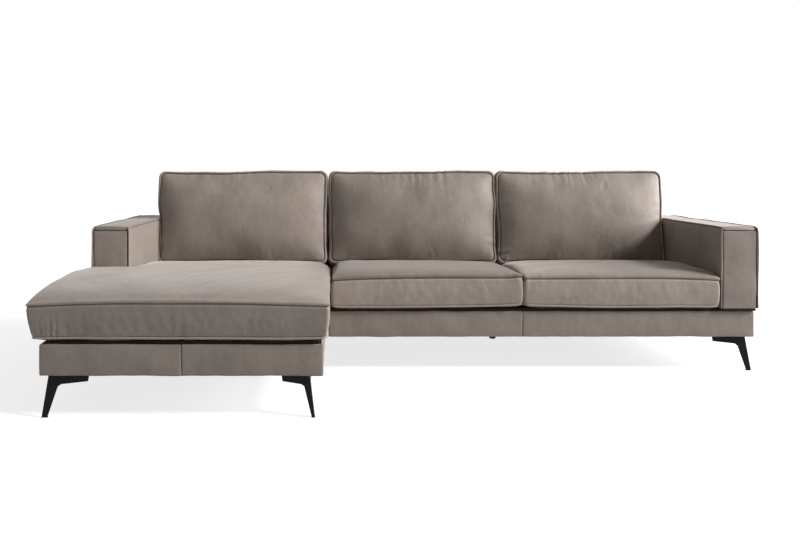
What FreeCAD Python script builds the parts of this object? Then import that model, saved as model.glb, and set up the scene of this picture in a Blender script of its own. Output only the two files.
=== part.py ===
import FreeCAD, Part
import math
import os

# Corner sofa: a chaise module on the left, bolted to a two-seat module on the right.
# Millimetres. X runs along the front, the front faces -Y, Z is up and the feet stand on Z = 0.
# The origin is under the middle of the sofa's bounding box.

V = FreeCAD.Vector
Z_AXIS = V(0, 0, 1)

# Across the front
seat_pitch = 828.0              # one seat, seam to seam
arm_width = 164.0
module_gap = 4.0                # between the chaise module and the two-seat module
arm_overhang = 12.0             # the arm past the side of its base
base_split_step = 4.0           # the bases back from the module gap
chaise_side_overhang = 31.0     # the chaise cushion past the outer side of the arm
chaise_split_lap = 16.0         # the chaise cushion past the middle of the module gap

# From front to back
chaise_reach = 700.0            # the chaise cushion in front of the other seats
seat_depth = 725.0              # front of the seat cushion to the back panel, at the deck
back_rest_depth = 225.0         # back panel to the rear, at the deck
base_setback = 20.0             # the base behind the front of the cushions
back_lean = 8.0                 # degrees that the back panel and the back cushions lean

# Heights above the floor
base_bottom = 143.0
base_top = 253.0                # top of the padded base covers
rail_top = 243.0
deck_top = 262.0
arm_bottom = 265.0
arm_top = 613.0
back_top = 720.0

# Boards, padding and sheets
rail_thickness = 25.0
board_thickness = 18.0
cover_thickness = 12.0          # foam and fabric on the base, the arms and the rear
arm_pad_top = 17.0              # foam and fabric on top of the arm
arm_crown = 6.0                 # rise of the arm's top between its edges
arm_corner_radius = 20.0
panel_recess = 3.0              # the arm's front panel behind the edge of its cover
panel_thickness = 14.0
back_pad = 20.0                 # foam and fabric on the front of the back
base_corner_radius = 10.0
back_edge_radius = 16.0
back_end_pad = 10.0             # padding that closes each end of the back
dust_cover_thickness = 1.0
block_height = 45.0
block_long = 110.0
block_short = 98.0
top_rail_height = 40.0

# Clearances
soft_gap = 0.3                  # between a cushion and what carries it
fixed_gap = 0.4                 # between padded covers and the boards that they hide
cushion_gap = 4.0               # between neighbouring seat cushions
arm_gap = 3.0                   # between a cushion and the arm beside it
back_cushion_gap = 3.0          # on each side of a back cushion
rest_gap = 1.0                  # between a back cushion and the seat cushion under it
wire_gap = 0.15
screw_gap = 0.1

# Seat cushions
seat_bottom_seam = 275.0        # height of the lower piping
seat_top_seam = 386.0           # height of the upper piping
seat_bottom_inset = 22.0        # the flat underside in from the lower piping
band_draw = 8.0                 # how far the band is drawn in between its pipings
side_bow = 6.0                  # how far a side is drawn in between its corners
cushion_corner_radius = 30.0
notch_radius = 6.0              # corner of the chaise cushion that goes round the arm
seat_crown = 40.0
chaise_crown = 58.0
radius_growth = 0.1             # of the inset, added to the radius of an outline's corners
# Height along the band and the share of band_draw there
seat_band_shape = ((0, 0), (0.25, 0.75), (0.5, 1), (0.75, 0.75), (1, 0))
# Share of the crown and the distance in from the upper piping where it is reached
seat_crown_shape = ((0.35, 10), (0.58, 32), (0.75, 75), (0.9, 150), (1, 250))
foam_inset = 24.0
foam_gap = 0.4

# Back cushions
back_cushion_band = 160.0       # rear piping to front piping
back_cushion_height = 446.0
back_cushion_crown = 44.0
back_rear_inset = 20.0
back_rear_roll = 10.0           # the rear piping in front of the flat back
back_band_shape = ((0.3, 0.8), (0.7, 0.8), (1, 0))
back_crown_shape = ((0.3, 14), (0.52, 34), (0.74, 72), (0.92, 130), (1, 190))

# Springs
wire_radius = 1.8
spring_run = 40.0               # straight run of a spring between its bends
spring_bend_radius = 20.0
chaise_spring_count = 6
sofa_spring_count = 12
clip_width = 22.0
clip_depth = 8.0
clip_height = 6.4

# Legs
leg_plate = 4.0
leg_long_wing = 140.0
leg_short_wing = 97.0
leg_wing_tip = 22.0             # height of a wing at its end
leg_wing_root = 32.0            # height of a wing at the blade
leg_long_blade = 38.0           # width of the broad blade under its wing
leg_short_blade = 24.0
leg_long_foot = 20.0            # width of the broad blade at the foot
leg_short_foot = 11.0
leg_splay = 18.0                # outward lean of the foot, along both sides
leg_inset_left = 26.0           # leg corner in from the side of the base
leg_inset_split = 48.0
leg_inset_right = 30.0
leg_inset_front = 24.0          # leg corner in from the front or rear of the base
flange_long = 100.0
flange_short = 80.0
flange_thickness = 3.0
flange_screw_long = (36.0, 84.0)
flange_screw_short = (24.0, 62.0)
glide_thickness = 3.0
glide_margin = 1.0
post_top_radius = 22.0
post_foot_radius = 16.0
stud_radius = 4.0
stud_length = 30.0
post_from_rear = 120.0
post_under_cross = 56.0         # post in from the end of the chaise cross rail
middle_post_from_rear = 220.0

# Screws and joining plates
screw_radius = 2.25
screw_length = 30.0
screw_head_radius = 4.5
screw_head_height = 2.6
joining_plate_width = 44.0
joining_plate_thickness = 3.0
joining_plate_places = (250.0, 750.0)   # behind the front of the two-seat module
joining_screw_offset = 12.0

# Webbing behind the back panel
web_width = 60.0
web_thickness = 2.0
web_heights = (340.0, 450.0, 560.0)
post_edge = 20.0                # first back post in from the side of its frame

# Places that follow from the driving dimensions
overall_width = chaise_side_overhang + 2 * arm_width + 3 * seat_pitch + module_gap
sofa_depth = seat_depth + back_rest_depth
overall_depth = chaise_reach + sofa_depth
cushion_left = -overall_width / 2
arm_l0 = cushion_left + chaise_side_overhang
arm_l1 = arm_l0 + arm_width
split0 = arm_l1 + seat_pitch
split1 = split0 + module_gap
split_middle = (split0 + split1) / 2
seat_line = split1 + seat_pitch
arm_r0 = seat_line + seat_pitch
arm_r1 = arm_r0 + arm_width
y_chaise = -overall_depth / 2
y_sofa = y_chaise + chaise_reach
y_rear = y_sofa + sofa_depth
y_rail_rear = y_rear - cover_thickness

chaise_x0 = arm_l0 + arm_overhang
chaise_x1 = split0 - base_split_step
chaise_y0 = y_chaise + base_setback
sofa_x0 = split1 + base_split_step
sofa_x1 = arm_r1 - arm_overhang
sofa_y0 = y_sofa + base_setback

lean = math.radians(back_lean)
lean_slope = math.tan(lean)
lean_up = V(0, math.sin(lean), math.cos(lean))
lean_forward = V(0, -math.cos(lean), math.sin(lean))


def panel_y(z):
    """Front face of the back panel at height z."""
    return y_sofa + seat_depth + (z - deck_top) * lean_slope


seat_rear = panel_y(seat_bottom_seam) - cushion_gap

# The first spring of a bank, clear of the back post beside it
spring_edge = post_edge + rail_thickness + spring_run / 2 + spring_bend_radius + clip_depth


def box(x0, x1, y0, y1, z0, z1):
    return Part.makeBox(x1 - x0, y1 - y0, z1 - z0, V(x0, y0, z0))


def rounded_outline(corners, radii, bows, place):
    """A closed wire round the corners, counter-clockwise. A bow draws the side after its corner
    inwards along a shallow arc. place turns two plane coordinates into a point in space."""
    count = len(corners)
    starts, ends, middles = [], [], []
    for i in range(count):
        here = V(corners[i][0], corners[i][1], 0)
        back = V(corners[i - 1][0], corners[i - 1][1], 0) - here
        ahead = V(corners[(i + 1) % count][0], corners[(i + 1) % count][1], 0) - here
        back.normalize()
        ahead.normalize()
        half = back.getAngle(ahead) / 2
        reach = radii[i] / math.tan(half)
        bisector = back + ahead
        bisector.normalize()
        starts.append(here + back * reach)
        ends.append(here + ahead * reach)
        middles.append(here + bisector * (radii[i] / math.sin(half) - radii[i]))
    edges = []
    for i in range(count):
        following = (i + 1) % count
        if radii[i] > 0:
            edges.append(Part.Arc(place(starts[i]), place(middles[i]), place(ends[i])).toShape())
        if bows[i]:
            along = starts[following] - ends[i]
            inward = V(-along.y, along.x, 0)
            inward.normalize()
            waist = (starts[following] + ends[i]) * 0.5 + inward * bows[i]
            side = Part.Arc(place(ends[i]), place(waist), place(starts[following]))
        else:
            side = Part.LineSegment(place(ends[i]), place(starts[following]))
        edges.append(side.toShape())
    return Part.Wire(edges)


def at_height(z):
    return lambda p: V(p.x, p.y, z)


def profile_along_x(corners, radii, x0, x1):
    """A prism along X from corners in Y and Z."""
    wire = rounded_outline(corners, radii, [0] * len(corners), lambda p: V(x0, p.x, p.y))
    return Part.Face(wire).extrude(V(x1 - x0, 0, 0))


def profile_along_y(corners, radii, bows, y0, y1):
    """A prism along Y from corners in X and Z."""
    wire = rounded_outline(corners, radii, bows, lambda p: V(p.x, y0, p.y))
    return Part.Face(wire).extrude(V(0, y1 - y0, 0))


def plan_prism(corners, radii, z0, z1):
    wire = rounded_outline(corners, radii, [0] * len(corners), at_height(z0))
    return Part.Face(wire).extrude(V(0, 0, z1 - z0))


def rectangle(x0, x1, y0, y1):
    return [(x0, y0), (x1, y0), (x1, y1), (x0, y1)]


def save(name, solids):
    shape = solids[0] if len(solids) == 1 else Part.makeCompound(solids)
    shape.exportStep("parts/" + name + ".step")


def inset_radius(inset, radius=cushion_corner_radius):
    """Corner radius of a cushion outline that lies in from the piping."""
    return radius + radius_growth * inset


def stacked_cushion(levels, outline):
    """A loft through the outlines of a cushion, from its flat underside to its crown."""
    return Part.makeLoft([outline(*level) for level in levels], True, True)


def seat_levels(crown):
    """Height, inset from the piping and inset at the rear for each outline of a seat cushion.
    At the rear the top slopes at the lean of the back, so that the back cushion lies on it."""
    band = seat_top_seam - seat_bottom_seam
    levels = [(deck_top + soft_gap, seat_bottom_inset, seat_bottom_inset)]
    levels += [(seat_bottom_seam + band * t, band_draw * draw, band_draw * draw)
               for t, draw in seat_band_shape]
    for share, inset in seat_crown_shape:
        height = seat_top_seam + crown * share
        levels.append((height, inset, crown * share / lean_slope))
    return levels


def seat_outline(x0, x1):
    def outline(z, inset, rear_inset):
        corners = rectangle(x0 + inset, x1 - inset, y_sofa + inset, seat_rear - rear_inset)
        return rounded_outline(corners, [inset_radius(inset)] * 4, [side_bow] * 4, at_height(z))
    return outline


def chaise_corners(inset, rear_inset):
    """The chaise cushion runs across the front of the left arm and back beside it."""
    left = cushion_left + inset
    right = split_middle + chaise_split_lap - inset
    rear = seat_rear - rear_inset
    notch_x = arm_l1 + arm_gap + inset
    notch_y = y_sofa - arm_gap - inset
    return [(left, y_chaise + inset), (right, y_chaise + inset), (right, rear), (notch_x, rear),
            (notch_x, notch_y), (left, notch_y)]


def chaise_radii(inset):
    outer = inset_radius(inset)
    return [outer, outer, outer, outer, inset_radius(inset, notch_radius), outer]


def chaise_outline(z, inset, rear_inset):
    corners = chaise_corners(inset, rear_inset)
    return rounded_outline(corners, chaise_radii(inset), [side_bow] * 6, at_height(z))


def foam_prism(corners, grow):
    radii = chaise_radii(0) if len(corners) == 6 else [cushion_corner_radius] * len(corners)
    low = seat_bottom_seam - grow
    return plan_prism(corners, radii, low, seat_top_seam - cover_thickness + grow)


def save_seat_cushion(name, cushion, core_corners, pocket_corners):
    """The foam core lies in a pocket of the wadded cover."""
    save(name, [cushion.cut(foam_prism(pocket_corners, foam_gap))])
    save(name.replace("cushion", "foam"), [foam_prism(core_corners, 0)])


def seat_cushions():
    chaise = stacked_cushion(seat_levels(chaise_crown), chaise_outline)
    core = chaise_corners(foam_inset, foam_inset)
    pocket = chaise_corners(foam_inset - foam_gap, foam_inset - foam_gap)
    save_seat_cushion("chaise_seat_cushion", chaise, core, pocket)
    first = (split_middle + chaise_split_lap + cushion_gap, seat_line - cushion_gap / 2)
    second = (seat_line + cushion_gap / 2, arm_r0 - arm_gap)
    for name, (x0, x1) in (("left_seat_cushion", first), ("right_seat_cushion", second)):
        cushion = stacked_cushion(seat_levels(seat_crown), seat_outline(x0, x1))
        core = rectangle(x0 + foam_inset, x1 - foam_inset, y_sofa + foam_inset, seat_rear - foam_inset)
        near = foam_inset - foam_gap
        pocket = rectangle(x0 + near, x1 - near, y_sofa + near, seat_rear - near)
        save_seat_cushion(name, cushion, core, pocket)


def back_cushions():
    """Each is lofted lying on its back, then stood against the panel and on the seat cushion."""
    panel_foot = V(0, panel_y(deck_top), deck_top)
    seat_edge = V(0, seat_rear, seat_top_seam) + lean_up * rest_gap
    climb = (seat_edge - panel_foot).dot(lean_up)
    foot = panel_foot + lean_up * climb + lean_forward * soft_gap
    levels = [(0, back_rear_inset), (back_rear_roll, 0)]
    levels += [(back_cushion_band * t, band_draw * draw) for t, draw in back_band_shape]
    for share, inset in back_crown_shape:
        levels.append((back_cushion_band + back_cushion_crown * share, inset))
    spans = (("chaise_back_cushion", arm_l1, split0), ("left_back_cushion", split1, seat_line),
             ("right_back_cushion", seat_line, arm_r0))
    for name, x0, x1 in spans:
        def outline(w, inset):
            corners = rectangle(x0 + back_cushion_gap + inset, x1 - back_cushion_gap - inset,
                                inset, back_cushion_height - inset)
            radii = [inset_radius(inset)] * 4
            return rounded_outline(corners, radii, [side_bow] * 4, at_height(w))
        cushion = stacked_cushion(levels, outline)
        cushion.rotate(V(0, 0, 0), V(1, 0, 0), 90 - back_lean)
        cushion.translate(foot)
        save(name, [cushion])


def spring(x, y0, y1):
    """One zigzag spring from front to back, swept from round wire."""
    z = rail_top + clip_height / 2
    bends = max(2, 2 * round((y1 - y0) / (4 * spring_bend_radius)))
    radius = (y1 - y0) / (2 * bends)
    side = spring_run / 2
    edges = []
    y = y0
    for i in range(bends + 1):
        edges.append(Part.LineSegment(V(x - side, y, z), V(x + side, y, z)).toShape())
        if i < bends:
            over = side + radius if side > 0 else side - radius
            turn = Part.Arc(V(x + side, y, z), V(x + over, y + radius, z), V(x + side, y + 2 * radius, z))
            edges.append(turn.toShape())
        y += 2 * radius
        side = -side
    section = Part.Wire(Part.makeCircle(wire_radius, V(x - spring_run / 2, y0, z), V(1, 0, 0)))
    return Part.Wire(edges).makePipeShell([section], True, False)


def spring_clip(x, y):
    clip = box(x - clip_width / 2, x + clip_width / 2, y - clip_depth / 2, y + clip_depth / 2,
               rail_top, rail_top + clip_height)
    start = V(x - clip_width, y, rail_top + clip_height / 2)
    return clip.cut(Part.makeCylinder(wire_radius + wire_gap, 2 * clip_width, start, V(1, 0, 0)))


def spring_bank(x0, x1, count, y0, y1):
    """Springs with a clip at each end, the first and last set in from the sides."""
    step = (x1 - x0 - 2 * spring_edge) / (count - 1)
    places = [x0 + spring_edge + i * step for i in range(count)]
    first = spring(places[0], y0, y1)
    springs = []
    for x in places:
        copy = first.copy()
        copy.translate(V(x - places[0], 0, 0))
        springs.append(copy)
    return springs, [spring_clip(x, y) for x in places for y in (y0, y1)]


def blade_leg(handed):
    """An L of two plates with its top corner at the origin: the long wing runs along +X, or along
    -X if handed is -1, the short one along +Y, and both taper down to a foot that leans outwards."""
    height = base_bottom - glide_thickness

    def plate(wing, blade, foot, across, thick):
        def at(reach, down):
            splay = leg_splay * down / height
            return across * reach + V(-splay * handed, -splay, -down)
        bend = leg_wing_root + (blade - foot) / 2
        outline = [at(0, 0), at(wing, 0), at(wing, leg_wing_tip), at(blade + bend / 4, leg_wing_root),
                   at(blade, bend), at(foot, height), at(0, height)]
        return Part.Face(Part.makePolygon(outline + outline[:1])).extrude(thick * leg_plate)

    x_axis = V(handed, 0, 0)
    y_axis = V(0, 1, 0)
    long_side = plate(leg_long_wing, leg_long_blade, leg_long_foot, x_axis, y_axis)
    short_side = plate(leg_short_wing, leg_short_blade, leg_short_foot, y_axis, x_axis)
    ends = sorted((0, handed * flange_long))
    flange = box(ends[0], ends[1], 0, flange_short, -flange_thickness, 0)
    leg = long_side.fuse([short_side, flange]).removeSplitter()
    for a in flange_screw_long:
        for b in flange_screw_short:
            start = V(a * handed, b, -2 * flange_thickness)
            hole = Part.makeCylinder(screw_radius + screw_gap, 3 * flange_thickness, start)
            leg = leg.cut(hole)
    glide = box(*sorted((handed * (-leg_splay - glide_margin), handed * (leg_long_foot - leg_splay))),
                -leg_splay - glide_margin, leg_short_foot - leg_splay, -base_bottom, -height)
    long_ends = sorted((-handed, handed * (leg_long_wing + 1)))
    footprint = box(ends[0] - 1, ends[1] + 1, -1, flange_short + 1, -flange_thickness, 1)
    footprint = footprint.fuse([
        box(*long_ends, -1, leg_plate + 1, -flange_thickness, 1),
        box(*sorted((-handed, handed * (leg_plate + 1))), -1, leg_short_wing + 1, -flange_thickness, 1)])
    return leg, glide, footprint


def turned(shape, angle, x, y):
    copy = shape.copy()
    copy.rotate(V(0, 0, 0), Z_AXIS, angle)
    copy.translate(V(x, y, base_bottom))
    return copy


def leg_screw(x, y, under):
    """A pan-head screw driven up through a plate that is as thick as under."""
    seat = base_bottom - under
    head = Part.makeCylinder(screw_head_radius, screw_head_height, V(x, y, seat - screw_head_height))
    shank = Part.makeCylinder(screw_radius, screw_length + under, V(x, y, seat))
    return head.fuse(shank).removeSplitter()


def pilot_hole(x, y):
    start = V(x, y, base_bottom - 1)
    return Part.makeCylinder(screw_radius + screw_gap, screw_length + 2, start)


def cut_all(shape, tools):
    for tool in tools:
        shape = shape.cut(tool)
    return shape


def leg_places():
    """Name, handedness, turn and corner of each blade leg."""
    left = chaise_x0 + leg_inset_left
    inner = chaise_x1 - leg_inset_split
    right = sofa_x1 - leg_inset_right
    rear = y_rear - leg_inset_front
    return (("chaise_front_left_leg", 1, 0, left, chaise_y0 + leg_inset_front),
            ("chaise_front_right_leg", 1, 90, inner, chaise_y0 + leg_inset_front),
            ("chaise_rear_left_leg", 1, 270, left, rear),
            ("sofa_front_right_leg", -1, 0, right, sofa_y0 + leg_inset_front),
            ("sofa_rear_right_leg", 1, 180, right, rear))


def corner_block(angle, x0, x1, y0, y1):
    """The block lies against both rails of its corner, its long side along the leg's long wing."""
    straight = angle % 180 == 0
    along_x = block_long if straight else block_short
    along_y = block_short if straight else block_long
    x = (x0, x0 + along_x) if x0 is not None else (x1 - along_x, x1)
    y = (y0, y0 + along_y) if y0 is not None else (y1 - along_y, y1)
    return box(x[0], x[1], y[0], y[1], base_bottom, base_bottom + block_height)


def legs():
    """Blade legs with their glides, screws and corner blocks. Returns what the dust covers clear."""
    inside = cover_thickness + rail_thickness
    corners = {"chaise_front_left_leg": (chaise_x0 + inside, None, chaise_y0 + inside, None),
               "chaise_front_right_leg": (None, chaise_x1 - inside, chaise_y0 + inside, None),
               "chaise_rear_left_leg": (chaise_x0 + inside, None, None, y_rear - inside),
               "sofa_front_right_leg": (None, sofa_x1 - inside, sofa_y0 + inside, None),
               "sofa_rear_right_leg": (None, sofa_x1 - inside, None, y_rear - inside)}
    glides, screws, blocks, footprints = [], [], [], []
    for name, handed, angle, x, y in leg_places():
        leg, glide, footprint = blade_leg(handed)
        save(name, [turned(leg, angle, x, y)])
        glides.append(turned(glide, angle, x, y))
        footprints.append(turned(footprint, angle, x, y))
        block = corner_block(angle, *corners[name])
        for a in flange_screw_long:
            for b in flange_screw_short:
                spot = FreeCAD.Rotation(Z_AXIS, angle).multVec(V(a * handed, b, 0)) + V(x, y, 0)
                screws.append(leg_screw(spot.x, spot.y, flange_thickness))
                block = block.cut(pilot_hole(spot.x, spot.y))
        blocks.append(block)
    save("corner_blocks", blocks)
    save("leg_screws", screws)
    return glides, footprints


def post_places():
    """Plain support legs: under the chaise cross rail, at the rear of both modules by the module
    gap, and under the middle of the two-seat module."""
    half = rail_thickness / 2
    return {"chaise_cross_rail": (chaise_x1 - cover_thickness - rail_thickness - post_under_cross,
                                  y_sofa + half),
            "chaise_right_rail": (chaise_x1 - cover_thickness - half, y_rear - post_from_rear),
            "sofa_left_rail": (sofa_x0 + half, y_rear - post_from_rear),
            "sofa_cross_rail": (seat_line, y_rear - middle_post_from_rear)}


def support_legs(glides):
    posts, clearances, studs = [], [], {}
    height = base_bottom - glide_thickness
    for rail, (x, y) in post_places().items():
        foot = V(x, y, glide_thickness)
        post = Part.makeCone(post_foot_radius, post_top_radius, height, foot)
        stud = Part.makeCylinder(stud_radius, stud_length, V(x, y, base_bottom))
        posts.append(post.fuse(stud).removeSplitter())
        glides.append(Part.makeCylinder(post_foot_radius - glide_margin, glide_thickness, V(x, y, 0)))
        clearances.append(Part.makeCylinder(post_top_radius + glide_margin, 4 * dust_cover_thickness,
                                            V(x, y, base_bottom - 2 * dust_cover_thickness)))
        studs[rail] = Part.makeCylinder(stud_radius + screw_gap, stud_length + 1, V(x, y, base_bottom))
    save("support_legs", posts)
    save("leg_glides", glides)
    return clearances, studs


def joining_plates():
    """Flat steel plates under the rails on both sides of the module gap."""
    left = chaise_x1 - cover_thickness - rail_thickness / 2
    right = sofa_x0 + rail_thickness / 2
    margin = rail_thickness / 2 - 2
    plates, screws, holes, footprints = [], [], {left: [], right: []}, []
    for place in joining_plate_places:
        y = y_sofa + place
        half = joining_plate_width / 2
        plate = box(left - margin, right + margin, y - half, y + half,
                    base_bottom - joining_plate_thickness, base_bottom)
        footprints.append(box(left - margin - 1, right + margin + 1, y - half - 1, y + half + 1,
                              base_bottom - joining_plate_thickness, base_bottom + 1))
        for x in (left, right):
            for dy in (-joining_screw_offset, joining_screw_offset):
                screws.append(leg_screw(x, y + dy, joining_plate_thickness))
                start = V(x, y + dy, base_bottom - 2 * joining_plate_thickness)
                plate = plate.cut(Part.makeCylinder(screw_radius + screw_gap,
                                                    3 * joining_plate_thickness, start))
                holes[x].append(pilot_hole(x, y + dy))
        plates.append(plate)
    save("joining_plates", plates)
    save("joining_screws", screws)
    return footprints, holes[left], holes[right]


def base_rails(name, x0, x1, y0, holes):
    """Front, rear and side rails of a module, drilled where something is screwed into them."""
    front = y0 + rail_thickness
    rear = y_rail_rear - rail_thickness
    rails = {"front": (x0, x1, y0, front), "rear": (x0, x1, rear, y_rail_rear),
             "left": (x0, x0 + rail_thickness, front, rear),
             "right": (x1 - rail_thickness, x1, front, rear)}
    for side, sizes in rails.items():
        node = name + "_" + side + "_rail"
        save(node, [cut_all(box(*sizes, base_bottom, rail_top), holes.get(node, []))])


def dust_cover(name, x0, x1, y0, clearances):
    edge = rail_thickness / 8
    sheet = box(x0 + edge, x1 - edge, y0 + edge, y_rail_rear - edge,
                base_bottom - dust_cover_thickness, base_bottom)
    save(name + "_dust_cover", [cut_all(sheet, clearances)])


def front_covers(name, x0, x1, seam, y0):
    """The padded front of the base, in two lengths with a seam between them."""
    back = y0 + cover_thickness
    radius = base_corner_radius
    left = plan_prism(rectangle(x0, seam, y0, back), [radius, 0, 0, 0], base_bottom, base_top)
    right = plan_prism(rectangle(seam, x1, y0, back), [0, radius, 0, 0], base_bottom, base_top)
    save(name + "_front_cover_left", [left])
    save(name + "_front_cover_right", [right])


def side_cover(name, x0, y0):
    save(name, [box(x0, x0 + cover_thickness, y0 + cover_thickness, y_rail_rear, base_bottom, base_top)])


def rear_cover(name, x0, x1, radii):
    save(name, [plan_prism(rectangle(x0, x1, y_rail_rear, y_rear), radii, base_bottom, base_top)])


def chaise_base(clearances, holes):
    x0 = chaise_x0 + cover_thickness
    x1 = chaise_x1 - cover_thickness
    y0 = chaise_y0 + cover_thickness
    base_rails("chaise", x0, x1, y0, holes)
    cross = box(x0 + rail_thickness, x1 - rail_thickness, y_sofa, y_sofa + rail_thickness,
                base_bottom, rail_top)
    save("chaise_cross_rail", [cut_all(cross, holes["chaise_cross_rail"])])
    half = rail_thickness / 2
    offset = rail_thickness / 4
    on_cross = y_sofa + half
    front_bank = spring_bank(x0, x1, chaise_spring_count, y0 + half, on_cross - offset)
    rear_bank = spring_bank(arm_l1, x1, chaise_spring_count, on_cross + offset, y_rail_rear - half)
    save("chaise_springs", front_bank[0] + rear_bank[0])
    deck = [(x0 + 1, y0 + 1), (x1 - 1, y0 + 1), (x1 - 1, y_rail_rear - rail_thickness - 1),
            (arm_l1 - cover_thickness + 1, y_rail_rear - rail_thickness - 1),
            (arm_l1 - cover_thickness + 1, y_sofa + panel_thickness), (x0 + 1, y_sofa + panel_thickness)]
    save("chaise_deck_pad", [plan_prism(deck, [0] * 6, rail_top + clip_height + soft_gap, deck_top)])
    front_covers("chaise", chaise_x0, chaise_x1, (chaise_x0 + chaise_x1) / 2, chaise_y0)
    side_cover("chaise_left_cover", chaise_x0, chaise_y0)
    side_cover("chaise_right_cover", chaise_x1 - cover_thickness, chaise_y0)
    rear_cover("chaise_rear_cover", chaise_x0, chaise_x1, [0, 0, 0, base_corner_radius])
    dust_cover("chaise", x0, x1, y0, clearances)
    return front_bank[1] + rear_bank[1]


def sofa_base(clearances, holes):
    x0 = sofa_x0
    x1 = sofa_x1 - cover_thickness
    y0 = sofa_y0 + cover_thickness
    half = rail_thickness / 2
    base_rails("sofa", x0, x1, y0, holes)
    cross = box(seat_line - half, seat_line + half, y0 + rail_thickness, y_rail_rear - rail_thickness,
                base_bottom, rail_top)
    save("sofa_cross_rail", [cut_all(cross, holes["sofa_cross_rail"])])
    bank = spring_bank(x0, arm_r0, sofa_spring_count, y0 + half, y_rail_rear - half)
    save("sofa_springs", bank[0])
    deck = rectangle(x0 + 1, arm_r0 + cover_thickness - 1, y0 + 1, y_rail_rear - rail_thickness - 1)
    save("sofa_deck_pad", [plan_prism(deck, [0] * 4, rail_top + clip_height + soft_gap, deck_top)])
    front_covers("sofa", sofa_x0, sofa_x1, seat_line, sofa_y0)
    side_cover("sofa_right_cover", sofa_x1 - cover_thickness, sofa_y0)
    rear_cover("sofa_rear_cover", sofa_x0, sofa_x1, [0, 0, base_corner_radius, 0])
    dust_cover("sofa", x0, x1, y0, clearances)
    return bank[1]


def arm(name, x0, x1, outer):
    """A padded arm: boards inside, a cover over the top, both sides and the rear, and a front
    panel set into the cover. outer is -1 for the left arm and 1 for the right one."""
    radius = arm_corner_radius
    shell = profile_along_y(rectangle(x0, x1, arm_bottom, arm_top - arm_crown), [0, 0, radius, radius],
                            [0, 0, -arm_crown, 0], y_sofa, y_rear)
    plan = rectangle(x0, x1, y_sofa, y_rear)
    rounding = [0, 0, base_corner_radius, base_corner_radius]
    shell = shell.common(plan_prism(plan, rounding, arm_bottom, arm_top + 1))
    ceiling = arm_top - arm_pad_top
    inner0 = x0 + cover_thickness
    inner1 = x1 - cover_thickness
    cavity = box(inner0, inner1, y_sofa - 1, y_rail_rear, arm_bottom - 1, ceiling)
    save(name + "_cover", [shell.cut(cavity)])
    panel = rectangle(inner0 + fixed_gap, inner1 - fixed_gap, arm_bottom, ceiling - fixed_gap)
    front = y_sofa + panel_recess
    panel_back = front + panel_thickness
    save(name + "_front_panel", [profile_along_y(panel, [0, 0, 6, 6], [0] * 4, front, panel_back)])
    near = inner0 + fixed_gap
    far = inner1 - fixed_gap
    floor0 = near if outer > 0 else x0 + arm_overhang + cover_thickness + fixed_gap
    floor1 = far if outer < 0 else x1 - arm_overhang - cover_thickness - fixed_gap
    board_front = sofa_y0 + cover_thickness + fixed_gap
    post_front = panel_back + fixed_gap
    rear = y_rail_rear - fixed_gap
    floor_top = rail_top + board_thickness
    top = ceiling - fixed_gap
    boards = [box(floor0, floor1, board_front, rear, rail_top, floor_top),
              box(near, far, post_front, rear, top - board_thickness, top),
              box(floor0, floor1, post_front, post_front + rail_thickness, floor_top, top - board_thickness),
              box(floor0, floor1, rear - rail_thickness, rear, floor_top, top - board_thickness)]
    save(name + "_frame", boards)


def back_rest(name, x0, x1):
    """Posts and a top rail in a leaning padded cover that rolls over the top and both ends, and a
    flat rear cover. Returns the straps of webbing behind the panel."""
    slant = 1 / math.cos(lean)
    front = (back_pad + web_thickness + fixed_gap) * slant
    pad_back = back_pad * slant
    foot = deck_top + soft_gap
    inner_top = back_top - back_pad
    profile = [(panel_y(foot), foot), (panel_y(foot) + pad_back, foot),
               (panel_y(inner_top) + pad_back, inner_top), (y_rail_rear, inner_top),
               (y_rail_rear, back_top), (panel_y(back_top), back_top)]
    cover = profile_along_x(profile, [0, 0, 0, 0, 0, back_edge_radius], x0, x1)
    end = [(panel_y(foot) + pad_back, foot), (y_rail_rear, foot), (y_rail_rear, inner_top),
           (panel_y(inner_top) + pad_back, inner_top)]
    ends = [profile_along_x(end, [0] * 4, x, x + back_end_pad) for x in (x0, x1 - back_end_pad)]
    save(name + "_back_front_cover", [cover.fuse(ends).removeSplitter()])
    rear = rectangle(y_rail_rear, y_rear, base_top + soft_gap, back_top)
    save(name + "_back_rear_cover", [profile_along_x(rear, [0, 0, base_corner_radius, 0], x0, x1)])
    top = inner_top - fixed_gap
    post_top = top - top_rail_height
    step = foot + back_pad / 2
    post = [(y_rail_rear - rail_thickness, rail_top), (y_rail_rear, rail_top), (y_rail_rear, post_top),
            (panel_y(post_top) + front, post_top), (panel_y(step) + front, step),
            (y_rail_rear - rail_thickness, step)]
    rail = [(panel_y(post_top) + front, post_top), (y_rail_rear, post_top), (y_rail_rear, top),
            (panel_y(top) + front, top)]
    posts = []
    middle = (x0 + x1 - rail_thickness) / 2
    for start in (x0 + post_edge, middle, x1 - post_edge - rail_thickness):
        posts.append(profile_along_x(post, [0] * 6, start, start + rail_thickness))
    save(name + "_back_frame", posts + [profile_along_x(rail, [0] * 4, x0 + post_edge, x1 - post_edge)])
    straps = []
    for z in web_heights:
        rise = web_width * math.cos(lean)
        near = back_pad * slant + fixed_gap
        strap = [(panel_y(z) + near, z), (panel_y(z) + front, z), (panel_y(z + rise) + front, z + rise),
                 (panel_y(z + rise) + near, z + rise)]
        straps.append(profile_along_x(strap, [0] * 4, x0 + post_edge, x1 - post_edge))
    return straps


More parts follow.
